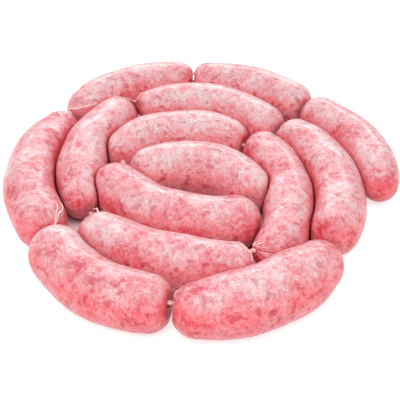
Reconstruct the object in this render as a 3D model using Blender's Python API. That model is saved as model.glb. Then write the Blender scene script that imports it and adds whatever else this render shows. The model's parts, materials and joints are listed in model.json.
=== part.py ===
# A string of fresh pork sausages in natural casing, laid down as a tight flat coil.
#
# Fourteen plump links run anticlockwise from the outer free end to the inner one. Each link is a
# bent roll of minced meat with blunt ends. Where two links lie against each other, both are
# pressed flat along the line midway between them, and each link rests on a small flat spot.
# Between two links the casing is twisted into a short cord, which leaves a dimple in both ends.
# The table is in millimetres and degrees. The finished meshes are in metres, +Z up.

import math

import bmesh
import bpy
import numpy as np
from mathutils import Vector

MM = 0.001

# One row for each link, from the outer end of the string to the inner end:
# middle x, middle y, heading at the middle, length, bend to the left, width,
# and how much slimmer the two ends are, as a share of the width.
LINKS = (
    (106, 41, 112, 114, 63, 32.0, 0.21, 0.09),
    (37, 113, 154, 97, 49, 33.0, 0.10, 0.14),
    (-51, 112, 209, 105, 46, 33.5, 0.16, 0.26),
    (-109, 8, 270, 139, 72, 33.5, 0.24, 0.05),
    (-62, -101, 321, 105, 80, 35.5, 0.04, 0.07),
    (36, -111, 28, 114, 63, 38.0, 0.16, 0.17),
    (85, 0, 99, 135, 77, 33.5, 0.04, 0.17),
    (9, 88, 162, 115, 100, 33.0, 0.07, 0.20),
    (-76, 30, 260, 128, 62, 33.5, 0.13, 0.23),
    (-23, -78, 340, 116, 57, 34.0, 0.13, 0.15),
    (55, -18, 91, 137, 73, 32.5, 0.22, 0.14),
    (-18, 52, 191, 107, 113, 34.0, 0.14, 0.14),
    (-21, -39, 335, 120, 98, 35.5, 0.04, 0.06),
    (4, 11, 161, 103, 118, 35.0, 0.10, 0.11),
)

# How far the middle of the cord between two links lies off a straight line, in x, y and z, by
# the number of the first of the two. The rest run straight across.
TWIST_SHIFT = {
    3: (-5.0, 0.0, 3.0),
    5: (0.0, 0.0, 3.0),
    6: (0.0, 0.0, -4.0),
    8: (0.0, 0.0, 1.0),
    9: (4.0, 2.0, -7.0),
    10: (-2.5, 0.0, 7.0),
}

REST_HEIGHT = 0.95  # height of a link's centre line, as a share of its half width
LUMP_HEIGHT = 0.35  # how far the meat swells the casing here and there
LUMP_LENGTH = 42.0  # distance from one swelling to the next along a link
DIMPLE_DEPTH = 2.0  # how far a twist pulls in the end of its link
DIMPLE_ANGLE = 26.0  # how wide that dimple is, seen from the middle of the round end
# The dimples of some ends, by link and 0 for its tail or 1 for its head. Where one is negative,
# the end narrows to a point instead.
OTHER_DIMPLES = {(3, 1): -3.0, (11, 0): -2.5}
PRESS_GAP = 0.7  # clearance between two links that are pressed together
PRESS_ROUND = 0.9  # how softly a pressed side turns into the round one
TWIST_WIDTH = 2.8  # width of the twisted cord halfway between its links
TWIST_FLARE = 1.4  # how much wider the cord is where it meets a link
TWIST_FLATNESS = 0.62  # thickness of the cord as a share of its width
TWIST_TURN = 1.25  # turns that the cord makes from one link to the next
TWIST_GAP = 0.5  # clearance between the cord and the link at each end

MEAT_COLOUR = (0.80, 0.42, 0.43)  # raw minced pork seen through the casing
MEAT_SHADE = 0.02  # how far one link is lighter or darker than the next
MEAT_ROUGHNESS = 0.35
CASING_COLOUR = (0.86, 0.66, 0.62)  # bare casing, where it holds no meat
CASING_ROUGHNESS = 0.3

SIDES = 16  # faces around a link
BODY_RINGS = 9  # rings along a link between its two round ends
END_RINGS = 4  # further rings over each round end
TWIST_SIDES = 8
TWIST_RINGS = 6
SPINE_POINTS = 48  # points along a link's centre line that stand for its thickness
SEARCH_STEPS = 26  # halvings that find where the surface crosses a ray


def unit(vector):
    return vector / np.linalg.norm(vector, axis=-1, keepdims=True)


def soft_step(share):
    share = np.clip(share, 0, 1)
    return share * share * (3 - 2 * share)


def link_form(row):
    """The named sizes of one link, and its centre line as a function of the share of its length."""
    x, y, heading, length, bend, width, slim_tail, slim_head = row
    bend = math.radians(bend)
    heading = math.radians(heading)
    half = width / 2
    arc_radius = length / bend

    def along(share):
        """Position and direction at each share of the length, from -0.5 at the tail to 0.5."""
        turn = bend * share
        step = np.stack([np.sin(turn), 1 - np.cos(turn)], axis=-1) * arc_radius
        forward = np.array([math.cos(heading), math.sin(heading)])
        left = np.array([-forward[1], forward[0]])
        flat = np.array([x, y]) + step[..., :1] * forward + step[..., 1:] * left
        place = np.concatenate([flat, np.full(flat.shape[:-1] + (1,), half * REST_HEIGHT)], axis=-1)
        angle = heading + turn
        direction = np.stack([np.cos(angle), np.sin(angle), np.zeros_like(angle)], axis=-1)
        return place, direction

    def thickness(share):
        """Half width at each share of the length: fullest in the middle, slimmer at the ends."""
        slim = np.where(share < 0, slim_tail, slim_head)
        return half * (1 - slim * np.abs(2 * share) ** 3)

    ends = (
        -0.5 + half * (1 - slim_tail / 2) / length,
        0.5 - half * (1 - slim_head / 2) / length,
    )
    spine_share = np.linspace(ends[0], ends[1], SPINE_POINTS)
    span = ends[1] - ends[0]

    def half_width(share):
        return thickness((share - ends[0]) / span - 0.5)

    return {
        "along": along,
        "half_width": half_width,
        "ends": ends,
        "length": length,
        "half": half,
        "spine": along(spine_share)[0],
        "spine_half_width": half_width(spine_share),
    }


def depth(points, link):
    """Signed distance from each point to a link's round form, negative inside it."""
    away = np.linalg.norm(points[:, None] - link["spine"][None], axis=2)
    return (away - link["spine_half_width"]).min(axis=1)


def end_centres(link):
    centre, _ = link["along"](np.array(link["ends"]))
    return centre


def swelling(share, angle, number, length):
    """Low lumps of the filling, in millimetres, in another pattern on each link."""
    wave = 2 * math.pi * share * length / LUMP_LENGTH
    first = np.sin(wave + 2.1 * number + np.cos(angle + number))
    second = np.cos(2 * angle + 1.3 * number + 0.6 * wave)
    return LUMP_HEIGHT * (first + 0.6 * second)


def ring_directions(axis, angles, tilt):
    """Rays around an axis, from square to it at tilt 90 down to along it at tilt 0."""
    up = np.array([0.0, 0.0, 1.0])
    side = unit(np.cross(axis, up))
    top = np.cross(side, axis)
    across = np.cos(angles)[:, None] * side + np.sin(angles)[:, None] * top
    return math.sin(tilt) * across + math.cos(tilt) * axis


def link_rays(link, number, aims):
    """Origin, direction, free length and pull of a ray for each point of a link's skin.

    The points come ring by ring. aims holds the point that each end's twist runs to, or None at a
    free end. The pull is how far that twist draws the pressed skin in.
    """
    # Half a step of turn puts a flat strip, not an edge, at the bottom.
    angles = (np.arange(SIDES) + 0.5) * 2 * math.pi / SIDES
    rings = []

    def add_ring(share, axis, tilt, pull):
        centre, _ = link["along"](np.array(share))
        directions = ring_directions(axis, angles, tilt)
        free = link["half_width"](np.array(share)) + swelling(share, angles, number, link["length"])
        rings.append((np.repeat(centre[None], SIDES, axis=0), directions, free, np.full(SIDES, pull)))

    def end_rings(end):
        """Rings over a round end, from its widest place to the rim of the last small face."""
        share = link["ends"][end]
        centre, forward = link["along"](np.array(share))
        outward = forward if end else -forward
        aim = aims[end]
        axis = outward if aim is None else unit(aim - centre)
        found = []
        smallest = math.asin(TWIST_WIDTH * TWIST_FLARE / 2 / link["half"])
        deepest = OTHER_DIMPLES.get((number + 1, end), DIMPLE_DEPTH)
        for tilt in np.linspace(math.pi / 2, smallest, END_RINGS + 1)[1:]:
            turned = unit(outward + (axis - outward) * soft_step(1 - tilt * 2 / math.pi))
            narrow = math.exp(-((math.degrees(tilt) / DIMPLE_ANGLE) ** 2))
            pull = 0.0 if aim is None else deepest * narrow
            found.append((share, turned if end else -turned, tilt if end else math.pi - tilt, pull))
        return found if end else found[::-1]

    for ring in end_rings(0):
        add_ring(*ring)
    for share in np.linspace(link["ends"][0], link["ends"][1], BODY_RINGS):
        _, forward = link["along"](np.array(share))
        add_ring(share, forward, math.pi / 2, 0.0)
    for ring in end_rings(1):
        add_ring(*ring)
    return [np.concatenate(part) for part in zip(*rings)]


def link_skin(number, links, aims):
    """Points of a link's skin, one ring after another, in millimetres."""
    link = links[number]
    origins, directions, free, pull = link_rays(link, number, aims)
    reach = 2 * (link["half"] + PRESS_ROUND)
    neighbours = [
        other
        for index, other in enumerate(links)
        if index != number and depth(link["spine"], other).min() < reach
    ]

    def outside(lengths):
        """Positive where a point on its ray is outside the pressed form."""
        points = origins + directions * lengths[:, None]
        own = depth(points, link)
        terms = [lengths - free]
        for other in neighbours:
            terms.append((own - depth(points, other) + PRESS_GAP) / 2)
        terms = np.array(terms)
        highest = terms.max(axis=0)
        return highest + PRESS_ROUND * np.log(np.exp((terms - highest) / PRESS_ROUND).sum(axis=0))

    low = np.zeros(len(free))
    high = free + 1.0
    for _ in range(SEARCH_STEPS):
        middle = (low + high) / 2
        beyond = outside(middle) > 0
        high = np.where(beyond, middle, high)
        low = np.where(beyond, low, middle)
    falling = directions[:, 2] < 0
    to_floor = np.where(falling, -origins[:, 2] / np.where(falling, directions[:, 2], -1), np.inf)
    return origins + directions * (np.minimum(low, to_floor) - pull)[:, None]


def aim_points(links):
    """The point halfway along each twist, which both of its links' ends face."""
    points = []
    for number in range(len(links) - 1):
        head = end_centres(links[number])[1]
        tail = end_centres(links[number + 1])[0]
        share = links[number]["half"] / (links[number]["half"] + links[number + 1]["half"])
        middle = head + (tail - head) * share
        points.append(middle + np.array(TWIST_SHIFT.get(number + 1, (0.0, 0.0, 0.0))))
    return points


def closed_skin(name, points, sides, location, colour, roughness):
    """An object whose rings of points are joined in turn, with a round cap over each last ring."""
    mesh = bpy.data.meshes.new(name)
    build = bmesh.new()
    rings = points.reshape(-1, sides, 3)
    rows = [[build.verts.new(Vector((p - location) * MM)) for p in ring] for ring in rings]
    for near, far in zip(rows, rows[1:]):
        for i in range(sides):
            j = (i + 1) % sides
            build.faces.new((near[i], near[j], far[j], far[i]))
    for row, ring in ((rows[0], rings[0]), (rows[-1], rings[-1])):
        pole = build.verts.new(Vector((ring.mean(axis=0) - location) * MM))
        for i in range(sides):
            build.faces.new((row[i], row[(i + 1) % sides], pole))
    bmesh.ops.recalc_face_normals(build, faces=build.faces[:])
    build.to_mesh(mesh)
    build.free()
    mesh.shade_smooth()
    piece = bpy.data.objects.new(name, mesh)
    piece.location = Vector(location * MM)
    piece.data.materials.append(material(name, colour, roughness))
    bpy.context.scene.collection.objects.link(piece)
    return piece


def material(name, colour, roughness):
    made = bpy.data.materials.new(name)
    made.use_nodes = True
    shader = made.node_tree.nodes["Principled BSDF"]
    shader.inputs["Base Color"].default_value = (*colour, 1.0)
    shader.inputs["Roughness"].default_value = roughness
    shader.inputs["Metallic"].default_value = 0.0
    return made


def make_link(number, link, skin):
    middle, _ = link["along"](np.array(0.0))
    location = middle * np.array([1.0, 1.0, 0.0])
    shade = MEAT_SHADE * math.sin(1.7 * number)
    colour = tuple(value + shade for value in MEAT_COLOUR)
    return closed_skin(f"link_{number + 1:02d}", skin, SIDES, location, colour, MEAT_ROUGHNESS)


def twist_skin(links, number, skins, aim):
    """Points of the flat cord that turns on itself from one link's end face to the next one's."""
    out = unit(aim - end_centres(links[number])[1])
    back = unit(aim - end_centres(links[number + 1])[0])
    start = skins[number][-SIDES:].mean(axis=0) + out * TWIST_GAP
    finish = skins[number + 1][:SIDES].mean(axis=0) + back * TWIST_GAP
    pull = np.linalg.norm(finish - start) / 3
    rings = []
    up = np.array([0.0, 0.0, 1.0])
    for ring in range(TWIST_RINGS + 1):
        t = ring / TWIST_RINGS
        corners = (start, start + out * pull, finish + back * pull, finish)
        weights = ((1 - t) ** 3, 3 * t * (1 - t) ** 2, 3 * t * t * (1 - t), t**3)
        slopes = ((1 - t) ** 2, 2 * t * (1 - t), t * t)
        centre = sum(w * c for w, c in zip(weights, corners))
        forward = unit(sum(s * (b - a) for s, a, b in zip(slopes, corners, corners[1:])))
        side = unit(np.cross(forward, up))
        top = np.cross(side, forward)
        half = TWIST_WIDTH / 2 * (1 + (TWIST_FLARE - 1) * (2 * t - 1) ** 2)
        turn = 2 * math.pi * TWIST_TURN * t
        for corner in range(TWIST_SIDES):
            angle = 2 * math.pi * corner / TWIST_SIDES
            wide = half * math.cos(angle)
            thin = half * TWIST_FLATNESS * math.sin(angle)
            across = wide * math.cos(turn) - thin * math.sin(turn)
            above = wide * math.sin(turn) + thin * math.cos(turn)
            rings.append(centre + side * across + top * above)
    return np.array(rings)


def make_twist(number, skin):
    name = f"twist_{number + 1:02d}"
    return closed_skin(name, skin, TWIST_SIDES, skin.mean(axis=0), CASING_COLOUR, CASING_ROUGHNESS)


def main():
    for old in list(bpy.data.objects):
        bpy.data.objects.remove(old)

    links = [link_form(row) for row in LINKS]
    middles = aim_points(links)
    aims = list(zip([None] + middles, middles + [None]))
    skins = [link_skin(number, links, aims[number]) for number in range(len(links))]
    pieces = [make_link(number, *pair) for number, pair in enumerate(zip(links, skins))]
    for number, middle in enumerate(middles):
        pieces.append(make_twist(number, twist_skin(links, number, skins, middle)))

    # The whole string hangs from one empty, which puts the middle of its outline over the origin.
    string = bpy.data.objects.new("string", None)
    outline = np.concatenate(skins)
    centre = (outline.min(axis=0) + outline.max(axis=0)) / 2 * MM
    string.location = Vector((-centre[0], -centre[1], 0.0))
    bpy.context.scene.collection.objects.link(string)
    for piece in pieces:
        piece.parent = string


main()
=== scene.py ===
import json
import math

import bpy
import numpy as np
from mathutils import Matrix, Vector, noise

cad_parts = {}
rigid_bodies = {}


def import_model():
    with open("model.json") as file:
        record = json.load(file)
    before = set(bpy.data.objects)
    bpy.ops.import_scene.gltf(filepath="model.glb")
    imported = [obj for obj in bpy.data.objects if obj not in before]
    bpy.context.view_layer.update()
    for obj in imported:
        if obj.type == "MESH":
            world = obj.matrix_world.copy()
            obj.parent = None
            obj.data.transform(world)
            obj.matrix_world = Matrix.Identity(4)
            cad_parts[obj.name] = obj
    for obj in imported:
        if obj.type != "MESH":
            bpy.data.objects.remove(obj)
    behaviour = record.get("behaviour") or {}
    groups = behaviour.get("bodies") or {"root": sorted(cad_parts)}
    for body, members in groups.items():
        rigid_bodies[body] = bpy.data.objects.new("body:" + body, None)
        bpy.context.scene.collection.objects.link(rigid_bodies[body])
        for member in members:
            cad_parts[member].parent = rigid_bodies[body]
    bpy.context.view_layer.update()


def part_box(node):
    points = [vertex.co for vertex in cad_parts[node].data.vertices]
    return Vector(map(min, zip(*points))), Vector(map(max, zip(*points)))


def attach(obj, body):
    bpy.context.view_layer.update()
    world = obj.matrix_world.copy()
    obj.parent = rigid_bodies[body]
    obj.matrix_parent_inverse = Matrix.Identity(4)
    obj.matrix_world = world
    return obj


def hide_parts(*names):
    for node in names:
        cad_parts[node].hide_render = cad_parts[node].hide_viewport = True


for leftover in list(bpy.data.objects):
    bpy.data.objects.remove(leftover)
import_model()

# A string of fresh pork sausages in natural hog casing, laid down as a tight flat coil.
# Sizes are in millimetres and degrees here, and the finished meshes are in metres.
mm = 0.001

# How exactly a pressed skin is found: the press in mm that counts, the deepest one as a share of
# the free half width, and how many times the way between them is halved.
smallestPress = 0.002
deepestPress = 0.3
halvings = 15

# The skin that is only used to place a link: points round it, rings along it and on each end.
coarseSkin = (24, 20, 5)

# One entry for each link, from the outer free end to the inner one. heading is the way it runs at its
# middle, bend is how far it turns left from end to end, and slim is how much thinner the tail and the head
# are. The last number makes its meat paler, partly as the link's own share of fat and partly as painted
# light and shade that sets how bright each link looks. Where it lies comes from its solid in the frame.
links = [
    {"heading": 112, "length": 114, "bend": 63, "width": 32.0, "slim": (0.21, 0.09), "fatAndPaintedLight": -0.02},
    {"heading": 154, "length": 97, "bend": 49, "width": 33.0, "slim": (0.10, 0.14), "fatAndPaintedLight": 0.10},
    {"heading": 209, "length": 105, "bend": 46, "width": 33.5, "slim": (0.16, 0.26), "fatAndPaintedLight": 0.05},
    {"heading": 270, "length": 139, "bend": 72, "width": 33.5, "slim": (0.24, 0.05), "fatAndPaintedLight": -0.08},
    {"heading": 321, "length": 105, "bend": 80, "width": 35.5, "slim": (0.04, 0.07), "fatAndPaintedLight": -0.05},
    {"heading": 28, "length": 114, "bend": 63, "width": 38.0, "slim": (0.16, 0.17), "fatAndPaintedLight": -0.06},
    {"heading": 99, "length": 135, "bend": 77, "width": 33.5, "slim": (0.04, 0.17), "fatAndPaintedLight": -0.01},
    {"heading": 162, "length": 115, "bend": 100, "width": 33.0, "slim": (0.07, 0.20), "fatAndPaintedLight": 0.06},
    {"heading": 260, "length": 128, "bend": 62, "width": 33.5, "slim": (0.13, 0.23), "fatAndPaintedLight": 0.04},
    {"heading": 340, "length": 116, "bend": 57, "width": 34.0, "slim": (0.13, 0.15), "fatAndPaintedLight": 0.00},
    {"heading": 91, "length": 137, "bend": 73, "width": 32.5, "slim": (0.22, 0.14), "fatAndPaintedLight": -0.02},
    {"heading": 191, "length": 107, "bend": 113, "width": 34.0, "slim": (0.14, 0.14), "fatAndPaintedLight": 0.07},
    {"heading": 335, "length": 120, "bend": 98, "width": 35.5, "slim": (0.04, 0.06), "fatAndPaintedLight": -0.05},
    {"heading": 161, "length": 103, "bend": 118, "width": 35.0, "slim": (0.10, 0.11), "fatAndPaintedLight": 0.12},
]

# What the skin of every link has in common.
skin = {
    "restHeight": 0.95,  # height of the centre line as a share of the half width
    "swell": 0.35,  # slow lumps of the filling
    "swellLength": 42.0,
    "knob": 0.22,  # coarse mince pushing at the casing
    "knobSize": 9.0,
    "dimple": 2.0,  # how far the twist pulls in an end
    "dimpleAngle": 26.0,
    # the dimples of some ends, by link and 0 for its tail or 1 for its head: where one is
    # negative, the end narrows to a point instead
    "otherDimples": {(3, 1): -3.0, (11, 0): -2.5},
    "pleat": 0.32,  # depth of the gathers of casing round each twist
    "pleats": 17,
    "pleatAngle": 46.0,
    "pressGap": 0.25,  # clearance where two links lie against each other
    "pressRound": 0.8,  # how softly the pressed flat goes over into the round
    "pressReach": 3.0,  # links farther apart than this don't press on each other
    "creaseShadeReach": 0.5,  # how far the painted crease shade, a deep red, reaches out of it
    "creaseShadeStrength": 0.55,  # and how strong it is
    "grooveShadeStrength": 0.45,  # the same painted shade in the gathers, for each time as deep
    "grooveShadeMost": 0.8,
    "around": 112,
    "ringStep": 1.15,
    "endRings": 26,
}

# Ends where the casing is gathered harder than elsewhere: link, then 0 for its tail or 1 for its
# head, and how many times as deep the gathers are.
gathers = {
    (2, 1): 1.6, (3, 0): 1.6, (3, 1): 2.0, (4, 1): 1.8, (5, 1): 1.4, (6, 0): 1.4,
    (8, 1): 1.4, (10, 1): 2.0, (11, 0): 4.0, (13, 1): 2.4,
}

# Ends where painted shade makes the meat round the twist deep red: link, then 0 for its tail or 1 for its
# head, with how strong the painted shade is and how many millimetres from the twist it reaches.
twistShades = {(5, 1): (0.7, 10.0), (6, 0): (0.5, 8.0)}

# The twisted casing between two links. shift moves its middle off a straight line, in x, y and z,
# by the first link's number. The one after link 9 is sunk the most, out of sight.
twist = {
    "width": 2.8,
    "flare": 1.4,
    "flatness": 0.62,
    "turns": 1.25,
    "ribs": 5,
    "ribDepth": 0.12,
    "around": 40,
    "rings": 48,
    "sink": 0.3,  # how far its ends go into the dimples
    "shift": {
        3: (-5, 0, 3), 5: (0, 0, 3), 6: (0, 0, -4), 8: (0, 1, -5), 9: (5, 3, -11), 10: (-2.5, 0, 7),
    },
}

# Loose casing, by the number of the link before its twist: folds pinched up from the skin,
# strands that reach over to the next link, and short curls. A point of one is a link, the share
# of its length from tail to head, degrees round it from its right side over its top, and
# millimetres above its skin.
looseCasing = {
    2: [
        {"width": 1.6, "path": [
            (2, 0.955, 92, -0.2), (2, 0.985, 92, 0.5), (3, 0.015, 92, 0.5), (3, 0.045, 92, -0.2),
        ]},
        {"width": 0.9, "path": [
            (2, 0.965, 112, -0.1), (2, 0.985, 106, 0.6), (3, 0.012, 84, 0.7), (3, 0.03, 76, -0.2),
        ]},
    ],
    3: [
        {"width": 1.0, "path": [
            (3, 0.985, 345, 0.0), (3, 0.995, 20, 0.3), (3, 0.998, 80, 0.4), (3, 0.978, 132, 0.4),
            (3, 0.94, 140, 0.4), (3, 0.90, 143, 0.3), (3, 0.85, 147, 0.0), (3, 0.80, 150, -0.4),
        ]},
        {"width": 0.6, "path": [
            (3, 0.990, 350, 0.0), (3, 0.995, 40, 0.2), (3, 0.985, 112, 0.2),
            (3, 0.955, 126, 0.2), (3, 0.92, 130, -0.3),
        ]},
    ],
    4: [
        {"width": 1.2, "path": [
            (4, 0.86, 142, -0.3), (4, 0.895, 147, 0.2), (4, 0.94, 140, 0.5), (4, 0.965, 129, 0.5),
            (4, 0.982, 126, 0.4), (4, 0.995, 128, 0.0),
        ]},
        {"width": 0.9, "path": [
            (4, 0.90, 128, -0.3), (4, 0.935, 126, 0.3), (4, 0.96, 122, 0.4),
            (4, 0.982, 120, 0.3), (4, 0.995, 125, 0.0),
        ]},
        {"width": 0.6, "path": [
            (4, 0.935, 147, -0.3), (4, 0.955, 142, 0.3), (4, 0.972, 137, 0.3), (4, 0.99, 131, 0.0),
        ]},
    ],
    5: [
        {"width": 1.3, "path": [
            (5, 0.9985, 195, 0.2), (5, 0.997, 200, 0.5), (5, 0.9955, 216, 0.5), (5, 0.995, 236, 0.4),
            (5, 0.9945, 254, 0.4), (5, 0.995, 270, 0.3), (5, 0.996, 285, -0.2),
        ]},
        {"width": 1.0, "path": [
            (6, 0.030, 114, -0.3), (6, 0.020, 108, 0.2), (6, 0.013, 100, 0.4),
            (6, 0.012, 88, 0.4), (6, 0.017, 80, -0.2),
        ]},
    ],
    8: [
        {"width": 0.8, "path": [
            (9, 0.13, 88, -0.3), (9, 0.10, 92, 0.2), (9, 0.07, 95, 0.4),
            (9, 0.045, 99, 0.9), (9, 0.030, 104, 2.4),
            (8, 0.976, 76, 1.8), (8, 0.962, 70, 0.7), (8, 0.94, 63, 0.4), (8, 0.91, 58, -0.3),
        ]},
    ],
    9: [
        {"width": 0.7, "path": [
            (10, 0.118, 99, -0.3), (10, 0.105, 102, 1.0), (10, 0.093, 106, 2.2),
            (10, 0.080, 110, 2.0), (10, 0.072, 113, 0.6),
        ]},
        {"width": 0.6, "path": [
            (10, 0.105, 108, -0.2), (10, 0.096, 106, 1.4), (10, 0.090, 100, 2.4), (10, 0.085, 96, 1.8),
        ]},
    ],
    10: [
        {"width": 1.0, "path": [
            (10, 0.84, 124, -0.3), (10, 0.88, 121, 0.3), (10, 0.915, 112, 0.4), (10, 0.94, 98, 0.5),
            (10, 0.962, 86, 0.4), (10, 0.975, 72, 0.2), (10, 0.985, 60, -0.2),
        ]},
        {"width": 0.8, "path": [
            (10, 0.88, 110, -0.3), (10, 0.915, 102, 0.3), (10, 0.94, 90, 0.4),
            (10, 0.958, 76, 0.3), (10, 0.975, 62, -0.1),
        ]},
        {"width": 1.3, "path": [
            (10, 0.965, 84, 0.1), (10, 0.976, 68, 0.5), (10, 0.974, 54, 0.5),
            (10, 0.968, 44, 0.4), (10, 0.958, 38, 0.0),
        ]},
        {"width": 0.7, "path": [
            (11, 0.003, 150, 0.1), (11, 0.02, 152, 0.4), (11, 0.045, 146, 0.1), (11, 0.07, 142, -0.3),
        ]},
        {"width": 0.7, "path": [
            (11, 0.003, 132, 0.1), (11, 0.02, 128, 0.4), (11, 0.045, 122, 0.1), (11, 0.065, 120, -0.3),
        ]},
        {"width": 0.6, "path": [
            (11, 0.003, 110, 0.1), (11, 0.014, 100, 0.4), (11, 0.03, 96, 0.1), (11, 0.05, 94, -0.3),
        ]},
        {"width": 0.6, "path": [
            (11, 0.003, 90, 0.1), (11, 0.010, 72, 0.3), (11, 0.02, 66, 0.0), (11, 0.035, 62, -0.3),
        ]},
    ],
}
folds = {"flatness": 0.7, "taper": 0.35, "steps": 7, "around": 10, "ripple": 0.12}


def unit(vector):
    return vector / np.linalg.norm(vector, axis=-1, keepdims=True)


def softStep(share):
    share = np.clip(share, 0, 1)
    return share * share * (3 - 2 * share)


def alongLink(link, share):
    # place and direction at each share of the length, from -0.5 at the tail to 0.5 at the head
    bend = math.radians(link["bend"])
    heading = math.radians(link["heading"])
    turn = bend * share
    step = np.stack([np.sin(turn), 1 - np.cos(turn)], axis=-1) * link["length"] / bend
    forward = np.array([math.cos(heading), math.sin(heading)])
    left = np.array([-forward[1], forward[0]])
    flat = link["middle"] + step[..., :1] * forward + step[..., 1:] * left
    height = np.full(flat.shape[:-1] + (1,), link["width"] / 2 * skin["restHeight"])
    angle = heading + turn
    direction = np.stack([np.cos(angle), np.sin(angle), np.zeros_like(angle)], axis=-1)
    return np.concatenate([flat, height], axis=-1), direction


def linkEnds(link):
    # where the centres of the two round ends lie, as shares of the length
    tail, head = link["slim"]
    share = link["width"] / 2 / link["length"]
    return -0.5 + share * (1 - tail / 2), 0.5 - share * (1 - head / 2)


def halfWidth(link, share):
    # the thinning grows with the cube of the way from the middle to an end
    first, last = linkEnds(link)
    across = (share - first) / (last - first) - 0.5
    slim = np.where(across < 0, link["slim"][0], link["slim"][1])
    return link["width"] / 2 * (1 - slim * np.abs(2 * across) ** 3)


def setSpine(link, points=64):
    shares = np.linspace(*linkEnds(link), points)
    link["spine"] = alongLink(link, shares)[0]
    link["spineHalf"] = halfWidth(link, shares)


def depth(points, link):
    # signed distance to the link's round form, negative inside
    spine = link["spine"]
    squares = (points**2).sum(axis=1)[:, None] + (spine**2).sum(axis=1)[None] - 2 * points @ spine.T
    return (np.sqrt(np.maximum(squares, 0)) - link["spineHalf"]).min(axis=1)


def endCentre(link, end):
    return alongLink(link, np.array(linkEnds(link)[end]))[0]


def ringDirections(axis, angles, tilt):
    side = unit(np.cross(axis, np.array([0.0, 0.0, 1.0])))
    top = np.cross(side, axis)
    across = np.cos(angles)[:, None] * side + np.sin(angles)[:, None] * top
    return math.sin(tilt) * across + math.cos(tilt) * axis


def linkRays(number, aims, around, rings, endRings):
    # one ray for each point of the skin: where it starts, which way it goes and how far the
    # skin is when nothing presses on it
    link = links[number]
    angles = (np.arange(around) + 0.5) * 2 * math.pi / around
    first, last = linkEnds(link)
    rows = []
    for share in np.linspace(first, last, rings):
        forward = alongLink(link, np.array(share))[1]
        rows.append((share, forward, math.pi / 2, 0.0, 0.0))
    for end in (0, 1):
        share = (first, last)[end]
        centre, forward = alongLink(link, np.array(share))
        outward = forward if end else -forward
        aim = aims[end]
        axis = outward if aim is None else unit(aim - centre)
        smallest = math.asin(twist["width"] * twist["flare"] / link["width"])
        deepest = skin["otherDimples"].get((number + 1, end), skin["dimple"])
        over = []
        for tilt in np.linspace(math.pi / 2, smallest, endRings + 1)[1:]:
            turned = unit(outward + (axis - outward) * softStep(1 - tilt * 2 / math.pi))
            degrees = math.degrees(tilt)
            pull = 0.0 if aim is None else deepest * math.exp(-((degrees / skin["dimpleAngle"]) ** 2))
            gather = 0 if aim is None else math.exp(-((degrees / skin["pleatAngle"]) ** 2))
            gather = gather * gathers.get((number + 1, end), 1.0)
            over.append((share, turned if end else -turned, tilt if end else math.pi - tilt, pull, gather))
        rows = rows + over if end else over[::-1] + rows
    # the bare numbers below only keep one link's lumps and gathers from being like another's
    origins, directions, free, pulls, grooves = [], [], [], [], []
    for share, axis, tilt, pull, gather in rows:
        centre = alongLink(link, np.array(share))[0]
        wave = 2 * math.pi * share * link["length"] / skin["swellLength"]
        swell = np.sin(wave + 2.1 * number + np.cos(angles + number))
        swell = swell + 0.6 * np.cos(2 * angles + 1.3 * number + 0.6 * wave)
        uneven = angles + 0.35 * np.sin(2 * angles + number) + 0.12 * np.sin(5 * angles + 2 * number)
        groove = (1 - np.abs(np.sin(skin["pleats"] / 2 * uneven + 1.7 * number))) ** 1.5
        groove = groove * gather * (0.65 + 0.35 * np.sin(3 * angles + 1.9 * number))
        reach = halfWidth(link, np.array(share)) + skin["swell"] * swell - skin["pleat"] * groove
        origins.append(np.repeat(centre[None], around, axis=0))
        directions.append(ringDirections(axis, angles, tilt))
        free.append(reach)
        pulls.append(np.full(around, pull))
        grooves.append(groove)
    return [np.concatenate(part) for part in (origins, directions, free, pulls, grooves)]


def knobs(points, number):
    # coarse mince that pushes at the casing from inside, in other places on each link
    heights = np.empty(len(points))
    for i, p in enumerate(points / skin["knobSize"] + 11.3 * number):
        heights[i] = noise.noise(p) + 0.5 * noise.noise(2.1 * p)
    return skin["knob"] * heights


def touching(link):
    # the links near enough to press on this one
    reach = link["width"] + skin["pressReach"]
    return [other for other in links if other is not link and depth(link["spine"], other).min() < reach]


def linkSkin(number, aims, around, rings, endRings, lumpy):
    # the skin's points, each found on its ray by halving, and how deep the gathers are there
    link = links[number]
    origins, directions, free, pulls, grooves = linkRays(number, aims, around, rings, endRings)
    if lumpy:
        free = free + knobs(origins + directions * free[:, None], number)
    others = touching(link)

    def outside(chosen, lengths):
        points = origins[chosen] + directions[chosen] * lengths[:, None]
        own = depth(points, link)
        terms = [lengths - free[chosen]]
        for other in others:
            terms.append((own - depth(points, other) + skin["pressGap"]) / 2)
        terms = np.array(terms)
        highest = terms.max(axis=0)
        soft = np.log(np.exp((terms - highest) / skin["pressRound"]).sum(axis=0))
        return highest + skin["pressRound"] * soft

    everyRay = np.arange(len(free))
    pressed = everyRay[outside(everyRay, free) > smallestPress]
    low = free[pressed] * deepestPress
    high = free[pressed] + 0.01
    for halving in range(halvings):
        middle = (low + high) / 2
        beyond = outside(pressed, middle) > 0
        high = np.where(beyond, middle, high)
        low = np.where(beyond, low, middle)
    lengths = free.copy()
    lengths[pressed] = low
    # what points down stops at the table
    falling = directions[:, 2] < -1e-6
    toFloor = np.where(falling, -origins[:, 2] / np.where(falling, directions[:, 2], -1), np.inf)
    return origins + directions * (np.minimum(lengths, toFloor) - pulls)[:, None], grooves


def nearness(points, link):
    # the mask of the painted crease shade: 1 where a neighbour presses on the skin, falling to almost 0
    # two millimetres away from it
    own = depth(points, link)
    away = np.full(len(points), np.inf)
    for other in touching(link):
        away = np.minimum(away, (depth(points, other) - own) / 2)
    return np.exp(-np.maximum(away - skin["pressGap"] / 2, 0) / skin["creaseShadeReach"])


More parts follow.
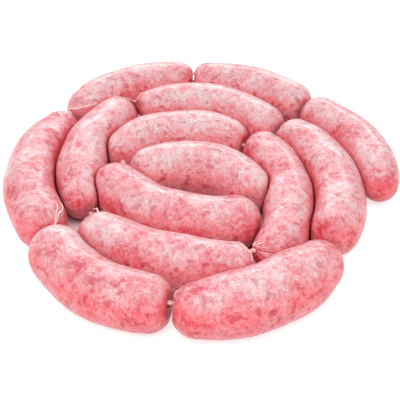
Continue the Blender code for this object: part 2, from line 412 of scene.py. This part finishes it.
def aimPoints():
    # the point halfway along each twist, which both of its links' ends face
    points = []
    for number in range(len(links) - 1):
        head = endCentre(links[number], 1)
        tail = endCentre(links[number + 1], 0)
        share = links[number]["width"] / (links[number]["width"] + links[number + 1]["width"])
        shift = np.array(twist["shift"].get(number + 1, (0, 0, 0)))
        points.append(head + (tail - head) * share + shift)
    return points


def placeLinks(rounds=4):
    # each link is moved until its skin has the same middle as its solid in the frame
    for number, link in enumerate(links):
        low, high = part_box(f"link_{number + 1:02d}")
        link["boxMiddle"] = np.array((low + high) / 2)[:2] / mm
        link["middle"] = link["boxMiddle"].copy()
        setSpine(link)
    for attempt in range(rounds):
        middles = aimPoints()
        aims = list(zip([None] + middles, middles + [None]))
        moves = []
        for number, link in enumerate(links):
            points = linkSkin(number, aims[number], *coarseSkin, False)[0]
            moves.append(link["boxMiddle"] - (points.min(axis=0) + points.max(axis=0))[:2] / 2)
        for link, move in zip(links, moves):
            link["middle"] = link["middle"] + move
            setSpine(link)
    print("largest last move of a link, mm:", round(float(np.abs(moves).max()), 3))


def closedMesh(name, tubes):
    # each tube is rings of points joined in turn, with a point in the middle of each last ring
    points, faces = [], []
    for tube in tubes:
        rings, around = tube.shape[:2]
        start = len(points)
        index = start + np.arange(rings * around).reshape(rings, around)
        across = np.roll(index, -1, axis=1)
        corners = np.stack([index[:-1], across[:-1], across[1:], index[1:]], axis=-1)
        faces.extend(corners.reshape(-1, 4).tolist())
        first = start + rings * around
        for i in range(around):
            faces.append([int(across[0, i]), int(index[0, i]), first])
            faces.append([int(index[-1, i]), int(across[-1, i]), first + 1])
        points.extend((tube.reshape(-1, 3) * mm).tolist())
        points.extend((tube[[0, -1]].mean(axis=1) * mm).tolist())
    mesh = bpy.data.meshes.new(name)
    mesh.from_pydata(points, [], faces)
    mesh.validate()
    mesh.shade_smooth()
    piece = bpy.data.objects.new(name, mesh)
    bpy.context.scene.collection.objects.link(piece)
    return piece


def twistCord(number, skins, aim):
    # the flat cord that turns on itself from one link's end to the next one's
    out = unit(aim - endCentre(links[number], 1))
    back = unit(aim - endCentre(links[number + 1], 0))
    start = skins[number][-1].mean(axis=0) - twist["sink"] * out
    finish = skins[number + 1][0].mean(axis=0) - twist["sink"] * back
    pull = np.linalg.norm(finish - start) / 3
    corners = (start, start + out * pull, finish + back * pull, finish)
    angles = np.arange(twist["around"]) * 2 * math.pi / twist["around"]
    rings = []
    for ring in range(twist["rings"] + 1):
        t = ring / twist["rings"]
        weights = ((1 - t) ** 3, 3 * t * (1 - t) ** 2, 3 * t * t * (1 - t), t**3)
        slopes = ((1 - t) ** 2, 2 * t * (1 - t), t * t)
        centre = sum(w * c for w, c in zip(weights, corners))
        forward = unit(sum(s * (b - a) for s, a, b in zip(slopes, corners, corners[1:])))
        side = unit(np.cross(forward, np.array([0.0, 0.0, 1.0])))
        top = np.cross(side, forward)
        half = twist["width"] / 2 * (1 + (twist["flare"] - 1) * (2 * t - 1) ** 2)
        half = half * (1 - twist["ribDepth"] * (1 + np.cos(twist["ribs"] * angles)) / 2)
        turn = 2 * math.pi * twist["turns"] * t
        wide = half * np.cos(angles)
        thin = half * twist["flatness"] * np.sin(angles)
        across = wide * math.cos(turn) - thin * math.sin(turn)
        above = wide * math.sin(turn) + thin * math.cos(turn)
        rings.append(centre + across[:, None] * side + above[:, None] * top)
    return np.array(rings)


def overSkin(skins, number, share, degrees, above):
    # a point above a link's skin, and the way out of the skin there
    link, rings = links[number - 1], skins[number - 1]
    middles = rings.mean(axis=1)
    steps = np.linalg.norm(np.diff(middles, axis=0), axis=1)
    along = np.concatenate([[0.0], np.cumsum(steps)]) / steps.sum()
    row = float(np.interp(share, along, np.arange(len(along))))
    column = (degrees / 360 * skin["around"] - 0.5) % skin["around"]
    low, left = min(int(row), len(rings) - 2), int(column)
    right = (left + 1) % skin["around"]
    up, over = row - low, column - left
    lower = rings[low, left] * (1 - over) + rings[low, right] * over
    upper = rings[low + 1, left] * (1 - over) + rings[low + 1, right] * over
    point = lower * (1 - up) + upper * up
    nearest = link["spine"][np.argmin(np.linalg.norm(link["spine"] - point, axis=1))]
    outward = unit(point - nearest)
    return point + outward * above, outward


def foldTube(skins, fold):
    # a thin flat tube on a smooth curve through the fold's points, thinner at both ends and of
    # uneven width
    placed = [overSkin(skins, *place) for place in fold["path"]]
    knots = np.array([point for point, outward in placed])
    outs = np.array([outward for point, outward in placed])
    knots = np.concatenate([[2 * knots[0] - knots[1]], knots, [2 * knots[-1] - knots[-2]]])
    curve, ups = [], []
    for i in range(len(outs) - 1):
        before, first, last, after = knots[i : i + 4]
        for t in np.arange(folds["steps"]) / folds["steps"]:
            straight = 2 * first + (last - before) * t
            bent = (2 * before - 5 * first + 4 * last - after) * t**2
            curve.append((straight + bent + (3 * first - before - 3 * last + after) * t**3) / 2)
            ups.append(outs[i] * (1 - t) + outs[i + 1] * t)
    curve, ups = np.array(curve + [knots[-2]]), np.array(ups + [outs[-1]])
    forward = unit(np.gradient(curve, axis=0))
    side = unit(np.cross(forward, ups))
    top = np.cross(side, forward)
    share = np.linspace(0, 1, len(curve))
    half = fold["width"] / 2 * (folds["taper"] + (1 - folds["taper"]) * np.sin(math.pi * share) ** 0.6)
    half = half * (1 + folds["ripple"] * np.sin(19 * share + 40 * fold["path"][0][1]))
    angles = np.arange(folds["around"]) * 2 * math.pi / folds["around"]
    wide = (half[:, None] * np.cos(angles))[..., None] * side[:, None]
    thin = (half[:, None] * folds["flatness"] * np.sin(angles))[..., None] * top[:, None]
    return curve[:, None] + wide + thin


def linear(code):
    # sRGB hex to linear red, green, blue and alpha
    values = [int(code[i : i + 2], 16) / 255 for i in (1, 3, 5)]
    return [v / 12.92 if v <= 0.04045 else ((v + 0.055) / 1.055) ** 2.4 for v in values] + [1.0]


def addNode(tree, kind, settings=None, inputs=None):
    # an input is another node, one of its sockets, a hex colour or a number
    node = tree.nodes.new(kind)
    for name, value in (settings or {}).items():
        setattr(node, name, value)
    for name, value in (inputs or {}).items():
        if isinstance(value, bpy.types.Node):
            value = [socket for socket in value.outputs if socket.enabled][0]
        if isinstance(value, bpy.types.NodeSocket):
            tree.links.new(value, node.inputs[name])
        elif isinstance(value, str):
            node.inputs[name].default_value = linear(value)
        else:
            node.inputs[name].default_value = value
    return node


def perMetre(size):
    # texture scale for features of this many millimetres
    return 1000.0 / size


# Coarse minced pork seen through a stretched hog casing: pale fat and red lean in grains of about 3 mm, in
# slow clouds where one or the other wins, under the wet casing, which adds a thin soft gloss. Painted
# light makes what faces up paler, and painted shade makes it deepest red low on the sides, where two links
# press together, in the gathers and round two twists.
mince = {
    # the mixed meat, from the most lean to the most fat
    "ramp": ((0.0, "#BC3E49"), (0.22, "#CC666E"), (0.46, "#CE8085"), (0.72, "#CE9396"), (1.0, "#CEA6A4")),
    "rampFrom": 0.77,
    "rampTo": 1.43,
    # clouds, patches and fine specks: size, detail and strength
    "tones": ((22.0, 1.5, 0.9), (7.0, 2.0, 0.55), (1.2, 3.0, 0.50)),
    "grainSize": 2.6,
    "grainTone": 0.24,
    "bend": 3.0,  # how far the grains are smeared by the mincer, mm
    "swirl": 6.0,  # and the size of its swirls
    # marks on top: colour, size, detail, where the noise starts and ends, strength, and how much more of
    # it shows low on the sides, as painted shade
    "marks": (
        ("#B0303C", 5.5, 2.0, 0.55, 0.68, 0.50, 0.6),  # lumps of lean
        ("#D2B2AE", 4.2, 2.0, 0.58, 0.70, 0.35, 0.0),  # lumps of fat
        ("#95404A", 1.7, 2.0, 0.55, 0.68, 0.45, 0.4),  # dark grains
        ("#A8928C", 1.4, 1.0, 0.58, 0.70, 0.40, 0.0),  # grey grains of gristle
        ("#D6BAB4", 2.4, 2.0, 0.63, 0.70, 0.20, 0.0),  # pale chips
    ),
    "top": "#DDFFFF",  # painted light: tint that makes what faces up less red and paler
    "side": "#F2C6CC",  # painted shade: tint that makes what faces sideways or down darker and redder
    "topUntil": 0.9,  # how much the skin faces up where the first tint starts to give way
    "sideFrom": 0.2,  # and where only the second is left
    "creaseShadeColour": "#B0202C",  # painted shade where two links press together
    "groove": "#A83440",  # painted shade between the gathers of casing
    "relief": 0.03,  # of the specks, mm
    # light goes a few millimetres into the meat, red the farthest, and the wet casing is the coat
    "surface": {
        "Roughness": 0.5,
        "Specular IOR Level": 0.4,
        "IOR": 1.40,
        "Subsurface Weight": 0.8,
        "Subsurface Radius": (1.0, 0.35, 0.3),
        "Subsurface Scale": 4.0 * mm,
        "Coat Weight": 0.4,
        "Coat Roughness": 0.15,
        "Coat IOR": 1.40,
    },
}


def minceMaterial():
    made = bpy.data.materials.new("freshPorkMinceUnderCasing")
    made.use_nodes = True
    tree = made.node_tree
    shader = tree.nodes["Principled BSDF"]
    place = addNode(tree, "ShaderNodeTexCoord").outputs["Object"]
    where = {"Vector": place, "Scale": perMetre(mince["swirl"]), "Detail": 2.0}
    swirl = addNode(tree, "ShaderNodeTexNoise", None, where)
    smeared = addNode(
        tree, "ShaderNodeVectorMath", {"operation": "MULTIPLY_ADD"},
        {0: swirl.outputs["Color"], 1: [mince["bend"] * mm] * 3, 2: place},
    )

    grains = addNode(
        tree, "ShaderNodeTexVoronoi", {"feature": "SMOOTH_F1"},
        {"Vector": smeared, "Scale": perMetre(mince["grainSize"]), "Smoothness": 0.5},
    )
    tone = addNode(tree, "ShaderNodeSeparateColor", None, {0: grains.outputs["Color"]})
    total = addNode(tree, "ShaderNodeMath", {"operation": "MULTIPLY"}, {0: tone, 1: mince["grainTone"]})
    for size, detail, weight in mince["tones"]:
        where = {"Vector": smeared, "Scale": perMetre(size), "Detail": detail, "Roughness": 0.6}
        tone = addNode(tree, "ShaderNodeTexNoise", None, where)
        added = {0: tone, 1: weight, 2: total}
        total = addNode(tree, "ShaderNodeMath", {"operation": "MULTIPLY_ADD"}, added)
    # each link's paleness: partly its own fat, partly painted light and shade
    fatAndPaintedLight = addNode(tree, "ShaderNodeAttribute", {"attribute_name": "fatAndPaintedLight"}).outputs["Fac"]
    total = addNode(tree, "ShaderNodeMath", {"operation": "ADD"}, {0: total, 1: fatAndPaintedLight})
    level = {"Value": total, "From Min": mince["rampFrom"], "From Max": mince["rampTo"]}
    fatness = addNode(tree, "ShaderNodeMapRange", None, level)
    ramp = addNode(tree, "ShaderNodeValToRGB", None, {0: fatness})
    stops = ramp.color_ramp.elements
    stops[0].position, stops[0].color = mince["ramp"][0][0], linear(mince["ramp"][0][1])
    stops[1].position, stops[1].color = mince["ramp"][-1][0], linear(mince["ramp"][-1][1])
    for where, code in mince["ramp"][1:-1]:
        stops.new(where).color = linear(code)

    # painted light and shade by which way the skin faces: low is 0 where it faces up and 1 where it faces
    # sideways or down. It tints the top paler and the sides darker and redder, and shows more dark marks
    # low on the sides.
    facing = addNode(tree, "ShaderNodeNewGeometry").outputs["Normal"]
    upward = addNode(tree, "ShaderNodeSeparateXYZ", None, {0: facing}).outputs["Z"]
    low = addNode(
        tree, "ShaderNodeMapRange", {"interpolation_type": "SMOOTHSTEP"},
        {"Value": upward, "From Min": mince["topUntil"], "From Max": mince["sideFrom"]},
    )
    colour = ramp
    for code, size, detail, start, full, strength, lower in mince["marks"]:
        where = {"Vector": smeared, "Scale": perMetre(size), "Detail": detail}
        marks = addNode(tree, "ShaderNodeTexNoise", None, where)
        most = {0: low, 1: lower * strength, 2: strength}
        most = addNode(tree, "ShaderNodeMath", {"operation": "MULTIPLY_ADD"}, most)
        share = addNode(
            tree, "ShaderNodeMapRange", {"interpolation_type": "SMOOTHSTEP"},
            {"Value": marks, "From Min": start, "From Max": full, "To Max": most},
        )
        colour = addNode(tree, "ShaderNodeMix", {"data_type": "RGBA"}, {0: share, 6: colour, 7: code})

    paintedTintInputs = {0: low, 6: mince["top"], 7: mince["side"]}
    paintedLightTint = addNode(tree, "ShaderNodeMix", {"data_type": "RGBA"}, paintedTintInputs)
    deeper = {"data_type": "RGBA", "blend_type": "MULTIPLY"}
    colour = addNode(tree, "ShaderNodeMix", deeper, {0: 1.0, 6: colour, 7: paintedLightTint.outputs[2]})
    # painted shade: deep red in the gathers and where two links press together
    for name, code in (("groove", mince["groove"]), ("pressed", mince["creaseShadeColour"])):
        share = addNode(tree, "ShaderNodeAttribute", {"attribute_name": name}).outputs["Fac"]
        colour = addNode(tree, "ShaderNodeMix", {"data_type": "RGBA"}, {0: share, 6: colour, 7: code})
    tree.links.new(colour.outputs[2], shader.inputs["Base Color"])

    # the last and finest tone is also the relief
    relief = addNode(tree, "ShaderNodeBump", None, {"Height": tone, "Distance": mince["relief"] * mm})
    tree.links.new(relief.outputs[0], shader.inputs["Normal"])
    for name, value in mince["surface"].items():
        shader.inputs[name].default_value = value
    return made


# Empty hog casing, pulled tight and wet: thin, half clear and finely mottled, so it looks
# paler than the meat and shines a little more.
casing = {
    "dark": "#C47E82",
    "pale": "#DEBEB8",
    "mottle": 2.0,
    "mottleFrom": 0.35,
    "mottleTo": 0.65,
    "surface": {
        "Roughness": 0.3,
        "IOR": 1.40,
        "Subsurface Weight": 0.4,
        "Subsurface Radius": (1.0, 0.5, 0.45),
        "Subsurface Scale": 2.0 * mm,
    },
}


def casingMaterial():
    made = bpy.data.materials.new("wetHogCasing")
    made.use_nodes = True
    tree = made.node_tree
    shader = tree.nodes["Principled BSDF"]
    place = addNode(tree, "ShaderNodeTexCoord").outputs["Object"]
    where = {"Vector": place, "Scale": perMetre(casing["mottle"]), "Detail": 2.0}
    tone = addNode(tree, "ShaderNodeTexNoise", None, where)
    level = {"Value": tone, "From Min": casing["mottleFrom"], "From Max": casing["mottleTo"]}
    share = addNode(tree, "ShaderNodeMapRange", None, level)
    shades = {0: share, 6: casing["dark"], 7: casing["pale"]}
    colour = addNode(tree, "ShaderNodeMix", {"data_type": "RGBA"}, shades)
    tree.links.new(colour.outputs[2], shader.inputs["Base Color"])
    for name, value in casing["surface"].items():
        shader.inputs[name].default_value = value
    return made


# The camera looks down at 37 degrees, from about two thirds of a metre.
camera = {
    "elevation": 37.0,
    "distance": 674.0,
    "sensor": 36.0,
    "lens": 93.7,
    "aim": (-1.8, 0.35, 0.0),
}


def setCamera():
    data = bpy.data.cameras.new("camera")
    data.sensor_width = camera["sensor"]
    data.lens = camera["lens"]
    seen = bpy.data.objects.new("camera", data)
    bpy.context.scene.collection.objects.link(seen)
    up = math.radians(camera["elevation"])
    back = Vector((0.0, -math.cos(up), math.sin(up)))
    seen.location = (Vector(camera["aim"]) + back * camera["distance"]) * mm
    seen.rotation_euler = back.to_track_quat("Z", "Y").to_euler()
    bpy.context.scene.camera = seen


studio = {
    "room": 1.22,  # even light from a bright room
    "horizon": 0.55,  # and from its darker walls
    "roomAbove": 0.7,  # how far up the room is at its brightest, 1 being straight up
    "lights": (
        # name, size, power, place and whether it shines back from the wet casing
        ("overheadSoftbox", (700, 700), 11.5, (-60, -480, 820), False),
        ("backStrip", (1100, 180), 5.0, (0, 950, 480), True),
    ),
    "lightsAim": (0, 0, 15),
}

# A white acrylic table with a fine matt surface. Round the coil it glows: painted light that makes it look
# evenly bright and keeps it from taking a shadow. Under the coil it has no glow and is pale pink.
table = {
    "half": 4000.0,
    "drop": 0.05,  # how far it lies below the links, so that the two faces don't flicker
    "paintedGlow": 0.65,  # painted light: how strongly it glows round the coil
    "aroundCoil": "#AEAEAE",
    "underCoil": "#D8B4B8",
    "coilMiddle": (-8.0, 14.0, 0.0),
    "glowFrom": 106.0,  # how far from the coil's middle the painted glow begins
    "glowTo": 116.0,  # and is full
    "roughness": 0.7,
}


def addLight(name, size, power, place, shines):
    data = bpy.data.lights.new(name, "AREA")
    data.shape = "RECTANGLE"
    data.size, data.size_y = size[0] * mm, size[1] * mm
    data.energy = power
    lamp = bpy.data.objects.new(name, data)
    lamp.visible_glossy = shines
    bpy.context.scene.collection.objects.link(lamp)
    lamp.location = Vector(place) * mm
    away = Vector(place) - Vector(studio["lightsAim"])
    lamp.rotation_euler = away.to_track_quat("Z", "Y").to_euler()


def tableMaterial():
    made = bpy.data.materials.new("whiteAcrylicTable")
    made.use_nodes = True
    tree = made.node_tree
    shader = tree.nodes["Principled BSDF"]
    place = addNode(tree, "ShaderNodeTexCoord").outputs["Object"]
    middle = [v * mm for v in table["coilMiddle"]]
    away = addNode(tree, "ShaderNodeVectorMath", {"operation": "DISTANCE"}, {0: place, 1: middle})
    away = away.outputs["Value"]
    # painted light: the table glows only outside a circle round the coil's middle
    span = {"Value": away, "From Min": table["glowFrom"] * mm, "From Max": table["glowTo"] * mm}
    outside = addNode(tree, "ShaderNodeMapRange", {"interpolation_type": "SMOOTHSTEP"}, span)
    paintedGlow = addNode(tree, "ShaderNodeMath", {"operation": "MULTIPLY"}, {0: outside, 1: table["paintedGlow"]})
    tree.links.new(paintedGlow.outputs[0], shader.inputs["Emission Strength"])
    # pale pink under the coil, grey round it where the painted glow turns it white
    ground = {0: outside, 6: table["underCoil"], 7: table["aroundCoil"]}
    colour = addNode(tree, "ShaderNodeMix", {"data_type": "RGBA"}, ground)
    tree.links.new(colour.outputs[2], shader.inputs["Base Color"])
    shader.inputs["Roughness"].default_value = table["roughness"]
    shader.inputs["Emission Color"].default_value = (1.0, 1.0, 1.0, 1.0)
    return made


def setStudio():
    world = bpy.data.worlds.new("studio")
    bpy.context.scene.world = world
    world.use_nodes = True
    tree = world.node_tree
    background = tree.nodes["Background"]
    background.inputs[0].default_value = (1.0, 1.0, 1.0, 1.0)
    above = addNode(tree, "ShaderNodeSeparateXYZ", None, {0: addNode(tree, "ShaderNodeTexCoord")})
    level = {
        "Value": above.outputs["Z"], "From Max": studio["roomAbove"],
        "To Min": studio["horizon"], "To Max": studio["room"],
    }
    tree.links.new(addNode(tree, "ShaderNodeMapRange", None, level).outputs[0], background.inputs[1])
    for light in studio["lights"]:
        addLight(*light)
    mesh = bpy.data.meshes.new("floor")
    half = table["half"] * mm
    corners = [(-half, -half, 0), (half, -half, 0), (half, half, 0), (-half, half, 0)]
    mesh.from_pydata(corners, [], [(0, 1, 2, 3)])
    mesh.materials.append(tableMaterial())
    floor = bpy.data.objects.new("floor", mesh)
    bpy.context.scene.collection.objects.link(floor)
    floor.location.z = -table["drop"] * mm
    bpy.context.scene.view_settings.view_transform = "Standard"
    print("studio set, lights:", len(studio["lights"]))


def build():
    placeLinks()
    middles = aimPoints()
    aims = list(zip([None] + middles, middles + [None]))
    meat = minceMaterial()
    skins = []
    for number, link in enumerate(links):
        first, last = linkEnds(link)
        rings = int((last - first) * link["length"] / skin["ringStep"])
        points, grooves = linkSkin(number, aims[number], skin["around"], rings, skin["endRings"], True)
        skins.append(points.reshape(-1, skin["around"], 3))
        piece = closedMesh(f"sausage_{number + 1:02d}", skins[-1:])
        # painted shade: deep red where the links press together, and round two twists
        pressed = nearness(points, link) * skin["creaseShadeStrength"]
        for end in (0, 1):
            strength, reach = twistShades.get((number + 1, end), (0.0, 1.0))
            if strength:
                away = np.linalg.norm(points - aims[number][end], axis=1)
                pressed = np.maximum(pressed, strength * np.exp(-((away / reach) ** 2)))
        looks = {
            "pressed": pressed,
            # painted shade in the gathers, deeper where they are deeper
            "groove": np.clip(grooves * skin["grooveShadeStrength"], 0, skin["grooveShadeMost"]),
            # each link's paleness, partly its own fat and partly painted light and shade
            "fatAndPaintedLight": np.full(len(points), link["fatAndPaintedLight"]),
        }
        for name, share in looks.items():
            values = np.concatenate([share, share[[0, -1]]])
            piece.data.attributes.new(name, "FLOAT", "POINT").data.foreach_set("value", values)
        piece.data.materials.append(meat)
        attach(piece, "root")
        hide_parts(f"link_{number + 1:02d}")
    print("links made:", len(skins))
    bare = casingMaterial()
    for number, aim in enumerate(middles):
        tubes = [twistCord(number, skins, aim)]
        tubes += [foldTube(skins, fold) for fold in looseCasing.get(number + 1, [])]
        piece = closedMesh(f"casing_twist_{number + 1:02d}", tubes)
        piece.data.materials.append(bare)
        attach(piece, "root")
        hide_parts(f"twist_{number + 1:02d}")
    print("twists made:", len(middles))


build()
setCamera()
setStudio()
